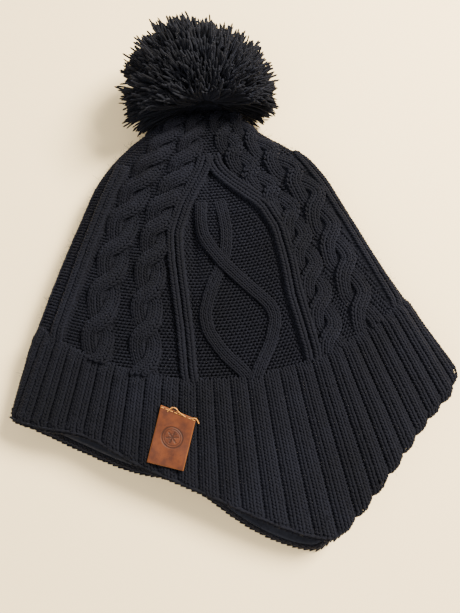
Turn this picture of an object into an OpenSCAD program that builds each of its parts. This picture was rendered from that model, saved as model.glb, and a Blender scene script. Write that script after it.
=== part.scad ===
// Fleece-lined cable-knit hat with two ear flaps, a pompom and a small leather label.
// It lies flat on its side: +X towards the nape, +Y towards the crown, +Z up from the
// surface it lies on. The wales fan out from a point above the crown, so most places are
// given as an angle round that point and a distance from it.

/* [Hat] */
// Flat width between the front and back folds at the hem
hat_w = 246; // [210:1:280]
// Length along a wale from the crown top to the hem, away from the flaps
hat_h = 193; // [165:1:220]
// Distance from the fan's point to the hem
fan_r = 290; // [260:1:340]
// Thickness of the flattened hat at the crown
thick = 26; // [22:0.5:34]
// Thickness of the flattened hat at the flap tips
hem_thick = 21; // [20:0.5:24]
// Length over which the crown top rounds off in width
round_w = 66; // [45:1:75]
// Length over which the crown top rounds off in thickness
round_t = 36; // [25:1:50]
// Lean of the crown towards the forehead, in degrees
lean = 1.2; // [0:0.1:3]

/* [Knit and lining] */
// Thickness of the knit fabric
knit_t = 4.5; // [3:0.1:5.5]
// Thickness of the fleece lining
lining_t = 3; // [2:0.1:3.5]
// Height of the ribbed band at the middle of a side
band_h = 32; // [20:1:45]
// Extra height of the ribbed band at the folds
band_rise = 16; // [0:1:25]
// Width of the bound edge along the hem
edge_w = 4; // [3:0.5:6]
// Half width of the back seam, in degrees round the section
seam_deg = 7; // [5:0.5:12]

/* [Ear flaps] */
// How far a flap's tip drops below the hem
flap_drop = 56; // [40:1:70]
// Length of a flap from its fold line to its tip
flap_len = 37; // [28:1:40]
// Place of the near flap's tip round the fan, in degrees
flap_deg = 7.3; // [0:0.1:8]
// Width of a flap's front slope
front_slope = 66; // [55:1:75]
// Width of a flap's back slope
back_slope = 53; // [45:1:60]
// How much a flap's slopes curve in, 2 being a bell
slope_power = 1.4; // [1.2:0.1:2]
// How far the far layer lies beyond the near one at the hem
far_drop = 7; // [0:0.5:10]
// How far the far flap is turned towards the front, in degrees
far_turn = 1.3; // [0:0.1:3]
// How far the near layer's hem is drawn up at the forehead
forehead_lift = 5.5; // [0:0.5:6]
// Gap between a flap and the band at its fold line
fold_gap = 0.8; // [0.6:0.1:1.5]

/* [Pompom] */
// Diameter of the pompom
pompom_d = 80; // [60:1:90]
// How far the pompom's underside is pressed flat
pompom_flat = 9; // [2:0.5:12]
// Distance from the crown top to the pompom's centre, along the hat
pompom_out = 5.5; // [4:0.5:15]
// How far the pompom's yarn hangs over the crown top
pompom_lip = 7; // [0:0.5:12]
// Radius of the gathered ring at the crown top
gather_r = 9.5; // [8:0.5:12]
// Thickness of the gathered ring
gather_t = 3.5; // [3:0.1:5]
// Radius of the bundle of yarn tails that holds the pompom
tails_r = 1.6; // [1:0.1:2]
// Outer radius of the tie round the middle of the pompom
tie_r = 7; // [6:0.5:9]
// Swing of the pompom to each side that the clearances allow, in degrees
swing_deg = 15; // [5:1:20]
// Tip of the pompom away from the crown that the clearances allow, in degrees
tip_deg = 20; // [5:1:20]

/* [Label] */
// Width of the leather label
label_w = 19.5; // [14:0.5:26]
// Length of the leather label
label_l = 30; // [22:0.5:34]
// Thickness of the leather
label_t = 1.6; // [1:0.1:2.5]
// Place of the label's middle line round the fan, in degrees
label_deg = -6.4; // [-12:0.1:-6.2]
// Turn of the label from its wale, in degrees
label_turn = 13; // [0:0.5:15]
// Gap between the label's lower edge and the hem
label_gap = 8; // [5:0.5:12]

/* [Hidden] */

$fn = 48;
navy = "#1c2233";
fleece = "#232838";
yarn = "#151a29";
cognac = "#a5602f";
thread = "#c9923c";

near = 1;
far = -1;
half_deg = asin(hat_w / 2 / fan_r);    // half angle of the fan
top_r = fan_r - hat_h;                 // crown top, from the fan's point
tip_r = fan_r + flap_drop;             // tip of the near flap
taper_r = fan_r - 60;                  // where the hat starts to thin towards the hem
wall_t = knit_t + lining_t;
section_power = 3.2;                   // squareness of the cross-section
section_flat = 1.035;                  // above 1, so the middle is truly flat
ring_reach = 1.1;                      // the crown's opening is this much wider than the ring
// the panels start this far below the crown top, where they are as wide as the opening
open_r = round_w * (1 - sqrt(1 - pow((gather_r + ring_reach) / (top_r * half_deg * PI / 180), 2)));
clear = 0.5;                           // running clearance of the pieces that move

near_tip_deg = flap_deg;
far_tip_deg = flap_deg - far_turn;
near_fold_r = tip_r - flap_len;                // fold line, along the middle of the near flap
far_fold_r = tip_r + far_drop - flap_len;      // the same of the far flap

pompom_r = pompom_d / 2;
pivot_up = 1.6;                                // the tails leave the ring just above its face
pompom_z = pompom_r - pompom_flat;

// the fan's point, with the whole outline centred on the origin
far_tip_y = max([for (phi = [0:0.5:far_tip_deg]) side_hem(phi, far) * cos(phi)]);
apex_y = (top_r - pompom_out - pompom_r + far_tip_y) / 2;
apex_x = (hem(180) - hem(0)) * sin(half_deg) / 2;
crown_y = apex_y - top_r;
pivot_y = crown_y - open_r + gather_t + pivot_up;
pivot_z = thick / 2;
pompom_y = crown_y + pompom_out;
// the pompom's face towards the crown clears the ring over the whole swing and tip
face_y = crown_y - open_r + gather_t + clear + gather_r * norm([sin(swing_deg), sin(tip_deg)]);

// 0 to 1 with flat ends
function ease(x) = let (c = min(1, max(0, x))) c * c * (3 - 2 * c);
// quarter ellipse that closes at inner and is full from outer on
function rounding(r, inner, outer) =
    r >= outer ? 1 : sqrt(max(0, 1 - pow((outer - r) / (outer - inner), 2)));
// half thickness of the flattened hat at its skin
function body_h(r) =
    (thick - (thick - hem_thick) * ease((r - taper_r) / (tip_r - taper_r))) / 2;
// half width along the arc and half thickness, at a depth below the skin
function half_w(r, depth) =
    (r * half_deg * PI / 180 - depth) * rounding(r, top_r + depth, top_r + round_w);
function half_h(r, depth) =
    (body_h(r) - depth) * rounding(r, top_r + depth, top_r + round_t);
// height of the skin across the section, 1 over the flat middle and 0 at the folds
function swell(t) = min(1, section_flat * pow(1 - pow(min(1, abs(t)), section_power), 1 / section_power));
function lean_at(r) = -lean * sin(180 * min(1, (r - top_r) / hat_h));
// v runs round the section: 0 at the back fold, 90 near side, 180 front fold, 270 far side
function place(v, r, depth) =
    let (
        t = cos(v),
        phi = t * half_w(r, depth) / r * 180 / PI + lean_at(r)
    )
    [apex_x + r * sin(phi), apex_y - r * cos(phi), body_h(r) + sign(sin(v)) * half_h(r, depth) * swell(t)];
function fan_deg(v) = half_deg * cos(v);
function fan_v(phi, side) = side * acos(phi / half_deg) + (side == near ? 0 : 360);

// the hem's distance from the fan's point, on one side
function slope(dx) =
    exp(-pow(abs(dx) / ((dx < 0 ? front_slope : back_slope) * 180 / PI / fan_r), slope_power));
function side_hem(phi, side) =
    fan_r + flap_drop * slope(phi - (side == near ? near_tip_deg : far_tip_deg))
    + (side == near ? -forehead_lift * exp(-pow((phi + 16.5) / 4.5, 2))
                    : far_drop * cos(90 * phi / half_deg));
// both sides, which run into each other at the folds
function hem(v) =
    let (s = (1 + min(1, max(-1, sin(v) / 0.25))) / 2, phi = fan_deg(v))
    s * side_hem(phi, near) + (1 - s) * side_hem(phi, far);
// a flap's fold line is straight
function fold(phi, side) =
    side == near ? near_fold_r / cos(phi - near_tip_deg) : far_fold_r / cos(phi - far_tip_deg);
function fold_v(v) = fold(fan_deg(v), sin(v) > 0 ? near : far);
// the angle where the hem is a distance off the fold line, between two angles
function cross_deg(lo, hi, off, side, n = 26) =
    n == 0 ? (lo + hi) / 2 :
    let (mid = (lo + hi) / 2, at_lo = side_hem(lo, side) - fold(lo, side) - off,
         at_mid = side_hem(mid, side) - fold(mid, side) - off)
    at_lo * at_mid <= 0 ? cross_deg(lo, mid, off, side, n - 1) : cross_deg(mid, hi, off, side, n - 1);
// both such angles of a side, front one first
function crossings(off, side) =
    let (tip = side == near ? near_tip_deg : far_tip_deg)
    [cross_deg(-half_deg, tip, off, side), cross_deg(tip, half_deg, off, side)];

// n + 1 values from a to b
function steps(a, b, n) = [for (i = [0:n]) a + (b - a) * i / n];
// a list of stretches joined end to end, with n steps in each
function joined(stops, counts) =
    [stops[0], for (k = [0:len(counts) - 1]) for (i = [1:counts[k]])
        stops[k] + (stops[k + 1] - stops[k]) * i / counts[k]];

band_top = function(v) fan_r - band_h - band_rise * pow(cos(v), 2);
panel_end = function(v) min(hem(v) - edge_w, fold_v(v) - fold_gap / 2);
flap_start = function(v) fold_v(v) + fold_gap / 2;
flap_end = function(v) hem(v) - edge_w;
edge_start = function(v) max(hem(v) - edge_w, fold_v(v) + fold_gap / 2);

// distances from the fan's point at which each sheet has its rows of points, at one place
// round the section; a crown sheet starts at the gathered opening
crown_rows = function(v, depth) let (a = top_r + depth + open_r, b = band_top(v))
    [for (j = [0:12]) b - (b - a) * cos(90 * j / 12)];
function rows_between(a, b, n) = [for (j = [0:n]) a + (b - a) * j / n];
band_rows = function(v, depth) rows_between(band_top(v), panel_end(v), 4);
// the lining follows the rows of the knit that it backs, from below the knot
lining_rows = function(v, depth) let (crown = crown_rows(v, depth), band = band_rows(v, depth))
    [for (j = [3:12]) crown[j], for (j = [1:4]) band[j]];
seam_rows = function(v, depth) let (band = band_rows(v, depth))
    [each crown_rows(v, depth), for (j = [1:4]) band[j]];
seam_edge_rows = function(v, depth) [hem(v) - edge_w, hem(v)];
band_edge_rows = function(v, depth) [hem(v) - edge_w, min(hem(v), fold_v(v) - fold_gap / 2)];
flap_rows = function(v, depth) rows_between(flap_start(v), flap_end(v), 4);
flap_edge_rows = function(v, depth) [edge_start(v), hem(v)];

// One curved sheet through a list of depths: vs are the places round the section, and
// rows gives the distances of its points from the fan's point.
module sheet(vs, depths, rows) {
    nv = len(vs);
    nr = len(rows(vs[1], depths[0]));
    size = nv * nr;
    inner = (len(depths) - 1) * size;
    points = [for (depth = depths) for (v = vs) for (r = rows(v, depth)) place(v, r, depth)];
    faces = [
        for (i = [0:nv - 2]) for (j = [0:nr - 2])
            let (a = i * nr + j, b = a + nr)
            each [[a, b, b + 1], [a, b + 1, a + 1],
                  [inner + a, inner + b + 1, inner + b], [inner + a, inner + a + 1, inner + b + 1]],
        for (k = [0:len(depths) - 2]) for (i = [0:nv - 2])
            let (a = k * size + i * nr, b = a + nr, c = a + nr - 1, d = b + nr - 1)
            each [[a, size + a, size + b], [a, size + b, b], [c, d, size + d], [c, size + d, size + c]],
        for (k = [0:len(depths) - 2]) for (j = [0:nr - 2])
            let (a = k * size + j, b = a + (nv - 1) * nr)
            each [[a, a + 1, size + a + 1], [a, size + a + 1, size + a],
                  [b, size + b + 1, b + 1], [b, size + b, size + b + 1]]
    ];
    polyhedron(points, faces, convexity = 6);
}

// the angles where the band's bound edge ends beside a flap, and where the flap's knit starts
edge_stop = edge_w - fold_gap / 2 - 1;
panel_stop = edge_w - fold_gap / 2;
knit_stop = edge_w + fold_gap / 2 + 1;
flap_stop = fold_gap / 2 + 1;
// places round the section at both crossings of a side, in the order that v grows
function pair_v(off, side) =
    let (c = crossings(off, side), a = fan_v(c[0], side), b = fan_v(c[1], side)) [min(a, b), max(a, b)];
// a whole side, with a step at each end of the flap's fold line
function side_vs(side) =
    let (e = pair_v(edge_stop, side), p = pair_v(panel_stop, side))
    side == near ? joined([seam_deg, e[0], p[0], p[1], e[1], 180], [6, 1, 9, 1, 7])
                 : joined([180, e[0], p[0], p[1], e[1], 360 - seam_deg], [7, 1, 9, 1, 6]);
function edge_runs(side) =
    let (e = pair_v(edge_stop, side))
    side == near ? [steps(seam_deg, e[0], 6), steps(e[1], 180, 7)]
                 : [steps(180, e[0], 7), steps(e[1], 360 - seam_deg, 6)];
function flap_vs(side) = let (k = pair_v(knit_stop, side)) steps(k[0], k[1], 12);
function flap_edge_vs(side) =
    let (f = pair_v(flap_stop, side), k = pair_v(knit_stop, side))
    joined([f[0], k[0], k[1], f[1]], [3, 12, 3]);

knit = [0, knit_t];
backing = [knit_t, wall_t];
both = [0, knit_t, wall_t];

module crown_panel(side) {
    color(navy) sheet(side_vs(side), knit, crown_rows);
}
module band_panel(side) {
    color(navy) sheet(side_vs(side), knit, band_rows);
}
module lining_panel(side) {
    vs = side_vs(side);
    half = seam_deg / 2;
    whole = side == near ? [0, half, each vs] : [each vs, 360 - half, 360];
    color(fleece) sheet(whole, backing, lining_rows);
}
// the bound edge on each side of a flap
module band_edge(side) {
    color(navy) for (run = edge_runs(side)) sheet(run, both, band_edge_rows);
}
module flap_knit(side) {
    color(navy) sheet(flap_vs(side), knit, flap_rows);
}
module flap_fleece(side) {
    color(fleece) sheet(flap_vs(side), backing, flap_rows);
}
module flap_edge(side) {
    color(navy) sheet(flap_edge_vs(side), both, flap_edge_rows);
}

module cable_crown_near() { crown_panel(near); }
module cable_crown_far() { crown_panel(far); }
module rib_band_near() { band_panel(near); }
module rib_band_far() { band_panel(far); }
module lining_near() { lining_panel(near); }
module lining_far() { lining_panel(far); }
module hem_edge_near() { band_edge(near); }
module hem_edge_far() { band_edge(far); }
module ear_flap_near() { flap_knit(near); }
module ear_flap_far() { flap_knit(far); }
module flap_lining_near() { flap_fleece(near); }
module flap_lining_far() { flap_fleece(far); }
module flap_edge_near() { flap_edge(near); }
module flap_edge_far() { flap_edge(far); }

// the knit seam up the back fold, from the hem to the gathered ring
module back_seam() {
    vs = steps(-seam_deg, seam_deg, 4);
    color(navy) {
        sheet(vs, knit, seam_rows);
        sheet(vs, both, seam_edge_rows);
    }
}

// drawn-in ring of knit that closes the crown, with a mouth for the ball end of the tails
module crown_gather() {
    round = gather_t / 2;
    mouth_r = tails_r * 1.7 + clear;
    color(navy) translate([apex_x, crown_y - open_r, pivot_z]) rotate([-90, 0, 0]) rotate_extrude() difference() {
        union() {
            translate([mouth_r, 0]) square([gather_r - mouth_r - round, gather_t]);
            translate([gather_r - round, round]) circle(r = round);
        }
        translate([0, gather_t + pivot_up]) circle(r = tails_r * 1.5 + clear);
    }
}

// knot inside the crown that stops the tails from pulling through
module anchor_knot() {
    knot_r = 3;
    color(yarn) translate([apex_x, crown_y - open_r - knot_r, pivot_z]) rotate([-90, 0, 0])
        cylinder(r = knot_r, h = knot_r);
}

// the tails run from the ring to the tie in the middle of the pompom
tails_v = [0, pompom_y - pivot_y, pompom_z - pivot_z];
tails_l = norm(tails_v);
tails_tilt = atan2(tails_v[1], tails_v[2]);
tie_h = 5;
// room round the tails for the swing
pocket_r = tails_r + clear + abs(tails_v[1]) * sin(swing_deg) + 1.5;

module from_pivot() {
    translate([apex_x, pivot_y, pivot_z]) rotate([-tails_tilt, 0, 0]) children();
}
module pompom_tails() {
    color(yarn) from_pivot() {
        cylinder(r = tails_r, h = tails_l);
        sphere(r = tails_r * 1.5);
    }
}
module pompom_tie() {
    color(yarn) from_pivot() translate([0, 0, tails_l - tie_h]) difference() {
        cylinder(r = tie_r, h = tie_h);
        translate([0, 0, -1]) cylinder(r = pocket_r, h = tie_h + 2);
    }
}
module pompom_yarn() {
    crown_top = thick + clear;
    reach = 2 * pompom_d;
    color(yarn) difference() {
        translate([apex_x, pompom_y, pompom_z]) sphere(r = pompom_r, $fn = 96);
        translate([-reach, pompom_y - reach, -reach]) cube([2 * reach, 2 * reach, reach]);
        translate([-reach, face_y - reach, -1]) cube([2 * reach, reach, crown_top + 1]);
        translate([-reach, crown_y - pompom_lip - reach, 0]) cube([2 * reach, reach, reach]);
        from_pivot() {
            sphere(r = tails_r * 1.5 + clear);
            cylinder(r = pocket_r, h = tails_l + 3);
            translate([0, 0, tails_l - tie_h]) cylinder(r = tie_r, h = tie_h);
        }
    }
}

label_end_r = side_hem(label_deg, near) - label_gap;
label_mid_r = label_end_r - label_l / 2;
label_tilt = atan2(2 * (body_h(label_mid_r) - body_h(label_end_r)), label_l / 2);
label_lift = 0.6;

// origin at the label's stitched edge, -Y along the label, +Z out of the knit
module on_label() {
    top_r = label_end_r - label_l;
    translate([apex_x + top_r * sin(label_deg), apex_y - top_r * cos(label_deg), 2 * body_h(top_r) + label_lift])
        rotate([label_tilt, 0, label_deg - label_turn]) children();
}
module leather_label() {
    corner = 1;
    color(cognac) on_label() translate([0, -label_l, 0]) linear_extrude(label_t) hull()
        for (x = [-1, 1]) for (y = [corner, label_l - corner])
            translate([x * (label_w / 2 - corner), y]) circle(r = corner);
}
// whip stitches of thread that hold the label's upper edge
module label_stitching() {
    stitch_r = 0.5;
    pitch = 2.4;
    count = floor((label_w - 2) / pitch);
    color(thread) on_label() for (i = [0:count - 1])
        translate([(i - (count - 1) / 2) * pitch, clear, stitch_r - label_lift + 0.1])
            rotate([-90, 0, 0]) cylinder(r = stitch_r, h = 2.2);
}

cable_crown_near();
cable_crown_far();
rib_band_near();
rib_band_far();
back_seam();
crown_gather();
anchor_knot();
lining_near();
lining_far();
hem_edge_near();
hem_edge_far();
ear_flap_near();
flap_lining_near();
flap_edge_near();
ear_flap_far();
flap_lining_far();
flap_edge_far();
pompom_tails();
pompom_tie();
pompom_yarn();
leather_label();
label_stitching();
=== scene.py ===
import bpy
import bmesh
import math
import numpy as np
from mathutils import Matrix, Vector


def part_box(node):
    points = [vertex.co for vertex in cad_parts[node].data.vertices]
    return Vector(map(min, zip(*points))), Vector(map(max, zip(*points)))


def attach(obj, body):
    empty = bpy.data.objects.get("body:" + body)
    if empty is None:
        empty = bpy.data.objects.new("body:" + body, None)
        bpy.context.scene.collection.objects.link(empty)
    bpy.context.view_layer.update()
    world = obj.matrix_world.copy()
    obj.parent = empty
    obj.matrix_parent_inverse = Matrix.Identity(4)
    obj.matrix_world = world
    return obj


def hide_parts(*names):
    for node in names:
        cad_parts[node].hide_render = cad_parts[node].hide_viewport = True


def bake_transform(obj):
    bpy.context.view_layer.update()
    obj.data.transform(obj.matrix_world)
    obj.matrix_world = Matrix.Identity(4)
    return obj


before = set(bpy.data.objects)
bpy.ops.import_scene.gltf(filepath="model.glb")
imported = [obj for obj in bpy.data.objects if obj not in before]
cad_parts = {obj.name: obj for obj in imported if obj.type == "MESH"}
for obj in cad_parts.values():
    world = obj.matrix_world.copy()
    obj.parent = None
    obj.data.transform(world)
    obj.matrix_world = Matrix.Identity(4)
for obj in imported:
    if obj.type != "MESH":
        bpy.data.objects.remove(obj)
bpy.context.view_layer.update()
rng = np.random.default_rng(7)
print("frame loaded")

# camera first
view = {"target": (0.0011, -0.0147, 0.012), "elevation": 80.0, "yaw": -6.0, "distance": 0.35, "lens": 36.7}
el, yaw = math.radians(view["elevation"]), math.radians(view["yaw"])
look = Vector((-math.sin(yaw) * math.cos(el), math.cos(yaw) * math.cos(el), -math.sin(el)))
camData = bpy.data.cameras.new("camera")
camData.sensor_fit, camData.sensor_height, camData.sensor_width = "VERTICAL", 36, 36
camData.lens, camData.clip_start, camData.clip_end = view["lens"], 0.01, 20
camera = bpy.data.objects.new("camera", camData)
camera.location = Vector(view["target"]) - look * view["distance"]
across = Vector((math.cos(yaw), math.sin(yaw), 0))
camera.rotation_euler = Matrix((across, across.cross(look), -look)).transposed().to_euler()
bpy.context.scene.collection.objects.link(camera)
bpy.context.scene.camera = camera


def linear(code):
    parts = [int(code[i:i + 2], 16) / 255 for i in (1, 3, 5)]
    return tuple(c / 12.92 if c <= 0.04045 else ((c + 0.055) / 1.055) ** 2.4 for c in parts) + (1.0,)


def addNode(mat, kind, inputs=(), **settings):
    # inputs are socket: value or (node, output) pairs
    node = mat.node_tree.nodes.new(kind)
    for key, value in settings.items():
        setattr(node, key, value)
    for key, value in dict(inputs).items():
        if isinstance(value, tuple) and len(value) == 2 and hasattr(value[0], "outputs"):
            mat.node_tree.links.new(value[0].outputs[value[1]], node.inputs[key])
        else:
            node.inputs[key].default_value = value
    return node


def startMaterial(name):
    mat = bpy.data.materials.new(name)
    mat.use_nodes = True
    mat.node_tree.nodes.clear()
    return mat


def finishMaterial(mat, shader):
    addNode(mat, "ShaderNodeOutputMaterial", {"Surface": (shader, 0)})
    return mat


# acrylic-wool yarn, spun from several plies: matt, with a faint bloom of loose fibre along each strand
yarnLook = {"deep": "#030509", "mid": "#070911", "lit": "#0c0f19", "sheen": "#7f8ab0", "roughness": 0.88}

# what each pattern on yarn and fleece measures, in mm: colour along the yarn, uneven dye, single fibres
grain = {"tone": 1.11, "patch": 35.7, "fibre": 0.238}


def stitchHeight(mat):
    # columns of V stitches drawn on a map counted in stitches
    uv = addNode(mat, "ShaderNodeSeparateXYZ", {0: (addNode(mat, "ShaderNodeUVMap", uv_map="yarn"), 0)})
    leg = addNode(mat, "ShaderNodeMath", {0: (uv, 0), 1: 0.5}, operation="PINGPONG")
    lean = addNode(mat, "ShaderNodeMath", {0: (leg, 0), 1: 1.3, 2: (uv, 1)}, operation="MULTIPLY_ADD")
    turn = addNode(mat, "ShaderNodeMath", {0: (lean, 0), 1: 2 * math.pi}, operation="MULTIPLY")
    wave = addNode(mat, "ShaderNodeMath", {0: (turn, 0)}, operation="SINE")
    across = addNode(mat, "ShaderNodeMath", {0: (leg, 0), 1: 2 * math.pi}, operation="MULTIPLY")
    swell = addNode(mat, "ShaderNodeMath", {0: (across, 0)}, operation="SINE")
    return addNode(mat, "ShaderNodeMath", {0: (wave, 0), 1: 0.6, 2: (swell, 0)}, operation="MULTIPLY_ADD")


def yarnMaterial(name, look, ply=True, bump=0.35, stitches=False):
    mat = startMaterial(name)
    place = addNode(mat, "ShaderNodeTexCoord")
    tone = addNode(mat, "ShaderNodeTexNoise", {"Vector": (place, "Object"), "Scale": 1000 / grain["tone"], "Detail": 3.0})
    patch = addNode(mat, "ShaderNodeTexNoise", {"Vector": (place, "Object"), "Scale": 1000 / grain["patch"], "Detail": 2.0})
    both = addNode(mat, "ShaderNodeMath", {0: (tone, 0), 1: (patch, 0)}, operation="ADD")
    half = addNode(mat, "ShaderNodeMath", {0: (both, 0), 1: 0.5}, operation="MULTIPLY")
    ramp = addNode(mat, "ShaderNodeValToRGB", {"Fac": (half, 0)})
    ramp.color_ramp.elements[0].position, ramp.color_ramp.elements[0].color = 0.32, linear(look["deep"])
    ramp.color_ramp.elements[1].position, ramp.color_ramp.elements[1].color = 0.68, linear(look["lit"])
    middle = ramp.color_ramp.elements.new(0.5)
    middle.color = linear(look["mid"])
    fibre = addNode(mat, "ShaderNodeTexNoise", {"Vector": (place, "Object"), "Scale": 1000 / grain["fibre"], "Detail": 2.0})
    height = (fibre, 0)
    if ply:
        uv = addNode(mat, "ShaderNodeUVMap", uv_map="yarn")
        twist = addNode(mat, "ShaderNodeTexWave", {"Vector": (uv, 0), "Scale": 1.0, "Distortion": 0.6,
                                                   "Detail": 1.0}, bands_direction="DIAGONAL")
        height = (addNode(mat, "ShaderNodeMath", {0: (twist, "Fac"), 1: (fibre, 0)}, operation="ADD"), 0)
    if stitches:
        height = (addNode(mat, "ShaderNodeMath", {0: (stitchHeight(mat), 0), 1: (fibre, 0)}, operation="ADD"), 0)
    bumped = addNode(mat, "ShaderNodeBump", {"Height": height, "Strength": bump,
                                             "Distance": 0.0006 if stitches else 0.00025})
    shader = addNode(mat, "ShaderNodeBsdfPrincipled", {
        "Base Color": (ramp, 0), "Roughness": look["roughness"], "Normal": (bumped, 0), "Specular IOR Level": 0.14,
        "Sheen Weight": 0.12, "Sheen Roughness": 0.45, "Sheen Tint": linear(look["sheen"])})
    return finishMaterial(mat, shader)


# brushed polyester fleece: a soft pile that scatters light, so it reads greyer and smoother than the knit
fleeceLook = {"deep": "#15171d", "mid": "#1c1f27", "lit": "#272a33", "sheen": "#a7adbd", "roughness": 0.95}
fleece = yarnMaterial("brushed_polyester_fleece", fleeceLook, ply=False, bump=0.6)
knitCloth = yarnMaterial("acrylic_wool_knit", yarnLook, ply=False, bump=0.9, stitches=True)
knitYarn = yarnMaterial("acrylic_wool_yarn", yarnLook)
pomYarn = yarnMaterial("cut_acrylic_yarn", {**yarnLook, "deep": "#07080c", "mid": "#0e1015", "lit": "#171a21"}, bump=0.5)

# the shape of the hat lying flat, in millimetres
hat = {"width": 246.0, "height": 193.0, "fan": 290.0, "thick": 26.0, "hemThick": 21.0, "roundW": 66.0, "roundT": 36.0,
       "lean": 1.2, "bandH": 32.0, "bandRise": 16.0, "flapDrop": 56.0, "flapLen": 37.0,
       "flapDeg": 7.3, "frontSlope": 66.0, "backSlope": 53.0, "slopePower": 1.4, "farDrop": 7.0, "farTurn": 1.3,
       "lift": 5.5, "power": 3.2, "flat": 1.035, "shoulder": 0.22, "stitchRoom": 2.0, "frontCorner": 6.0, "backCorner": 17.0}
band = {"period": 2.0, "first": -0.5, "channel": 0.07, "height": 1.5, "scallop": 0.8}
halfDeg = math.degrees(math.asin(hat["width"] / 2 / hat["fan"]))
topR = hat["fan"] - hat["height"]
tipR = hat["fan"] + hat["flapDrop"]
ringLo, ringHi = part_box("crown_gather")
apexX = (ringLo.x + ringHi.x) * 500
apexY = ringLo.y * 1000 + 2.09 + topR
tipDeg = {1: hat["flapDeg"], -1: hat["flapDeg"] - hat["farTurn"]}


def ease(x):
    c = np.clip(x, 0, 1)
    return c * c * (3 - 2 * c)


def rounding(r, inner, outer):
    return np.where(r >= outer, 1, np.sqrt(np.clip(1 - ((outer - r) / (outer - inner)) ** 2, 0, 1)))


def bodyH(r):
    return (hat["thick"] - (hat["thick"] - hat["hemThick"]) * ease((r - hat["fan"] + 60) / (tipR - hat["fan"] + 60))) / 2


def leanAt(r):
    return -hat["lean"] * np.sin(np.pi * np.minimum(1, (r - topR) / hat["height"]))


def section(v, r, depth):
    # v in degrees round the section: 0 back fold, 90 near side, 180 front fold; depth below the skin
    halfW = (r * math.radians(halfDeg) - depth) * rounding(r, topR + depth, topR + hat["roundW"])
    halfH = (bodyH(r) - depth) * rounding(r, topR + depth, topR + hat["roundT"])
    t, up = np.cos(np.radians(v)), np.sin(np.radians(v))
    # the back shoulder is drawn in a little more than the front one
    halfW = halfW * (1 - hat["shoulder"] * np.exp(-((r - 118) / 22) ** 2) * ease(t * 1.6))
    # stitches stand out past the folds by their own height
    halfW = halfW - hat["stitchRoom"] * ease((r - 120) / 60) * (0.6 + 0.4 * ease((r - 240) / 30))
    swell = np.minimum(1, hat["flat"] * (1 - np.minimum(1, np.abs(t)) ** hat["power"]) ** (1 / hat["power"]))
    phi = np.radians(np.degrees(t * halfW / r) + leanAt(r))
    return np.stack([apexX + r * np.sin(phi), apexY - r * np.cos(phi), bodyH(r) + np.sign(up) * halfH * swell], -1)


# a table that turns an angle along the skin into v, so that stitches keep their size round the folds
tableR = np.linspace(topR + 1.2, 362, 110)
tablePsi = np.linspace(-60, 60, 2401)
tableV = []
for r in tableR:
    v = np.linspace(-85, 265, 1401)
    p = section(v, np.full_like(v, r), np.zeros_like(v))
    s = np.concatenate([[0], np.cumsum(np.linalg.norm(np.diff(p, axis=0), axis=1))])
    psi = -np.degrees((s - np.interp(90, v, s)) / r) + leanAt(r)
    tableV.append(np.interp(tablePsi, psi[::-1], v[::-1]))
tableV = np.array(tableV)


def skinV(r, psi):
    i = np.clip((r - tableR[0]) / (tableR[1] - tableR[0]), 0, len(tableR) - 1.001)
    j = np.clip((psi - tablePsi[0]) / (tablePsi[1] - tablePsi[0]), 0, len(tablePsi) - 1.001)
    a, b = i.astype(int), j.astype(int)
    fa, fb = i - a, j - b
    return ((tableV[a, b] * (1 - fb) + tableV[a, b + 1] * fb) * (1 - fa)
            + (tableV[a + 1, b] * (1 - fb) + tableV[a + 1, b + 1] * fb) * fa)


def drape(r, psi):
    # soft undulations of the cloth, and the pocket beside the diamond's upper loop
    wave = 0.55 * np.sin(0.31 * psi + 0.031 * r + 0.6) * np.sin(0.052 * r - 0.12 * psi) + 0.35 * np.sin(0.55 * psi - 0.021 * r)
    pocket = -2.6 * np.exp(-((psi + 4.6 - (r - 178) * 0.02) / 1.1) ** 2 - ((r - 180) / 20) ** 2)
    return (wave + pocket) * ease((r - topR - 6) / 30) * ease((24.5 - np.abs(psi)) / 6)


def skin(r, psi, lift, side=1):
    r, psi, lift = np.broadcast_arrays(np.asarray(r, float), np.asarray(psi, float), np.asarray(lift, float))
    r = np.maximum(r, topR + 1.3)
    if side > 0:
        lift = lift + drape(r, psi)
    return section(side * skinV(r, psi), r, -lift)


foldBack = [np.interp(0, v[::-1], tablePsi[::-1]) for v in tableV]
foldFront = [np.interp(180, v[::-1], tablePsi[::-1]) for v in tableV]


def foldCurve(r):
    # angles along the skin of the front fold and the back fold
    return np.interp(r, tableR, foldFront), np.interp(r, tableR, foldBack)


def sideHem(psi, side):
    dx = psi - tipDeg[side]
    width = np.where(dx < 0, hat["frontSlope"], hat["backSlope"]) * 180 / math.pi / hat["fan"]
    drop = hat["flapDrop"] * np.exp(-(np.abs(dx) / width) ** hat["slopePower"])
    if side > 0:
        return hat["fan"] + drop - hat["lift"] * np.exp(-((psi + 16.5) / 4.5) ** 2)
    return (hat["fan"] + drop + hat["farDrop"] * np.cos(np.radians(90 * np.clip(psi / halfDeg, -1, 1)))
            - 8.0 * np.exp(-((psi + 5.8) / 4.6) ** 2))


def hemAt(psi, side, r=290.0):
    # the hem of one side, run into the other side's at the folds
    v = skinV(np.full_like(psi, r), psi)
    s = (1 + np.clip(side * np.sin(np.radians(v)) / 0.25, -1, 1)) / 2
    phi = halfDeg * np.cos(np.radians(v))
    hem = s * sideHem(phi, 1) + (1 - s) * sideHem(phi, -1)
    # rounded corners at the folds, and ribs that end in soft scallops towards the back
    for fold, radius in zip(foldCurve(285.0), (hat["frontCorner"], hat["backCorner"])):
        away = np.clip(1 - np.abs(psi - fold) * math.radians(285) / radius, 0, 1)
        hem = hem - radius * away * away * 0.55
    u = ((psi - band["first"]) / band["period"]) % 1 * 2 - 1
    return hem + band["scallop"] * (0.45 - u ** 4) * ease((psi - 8) / 3)


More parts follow.
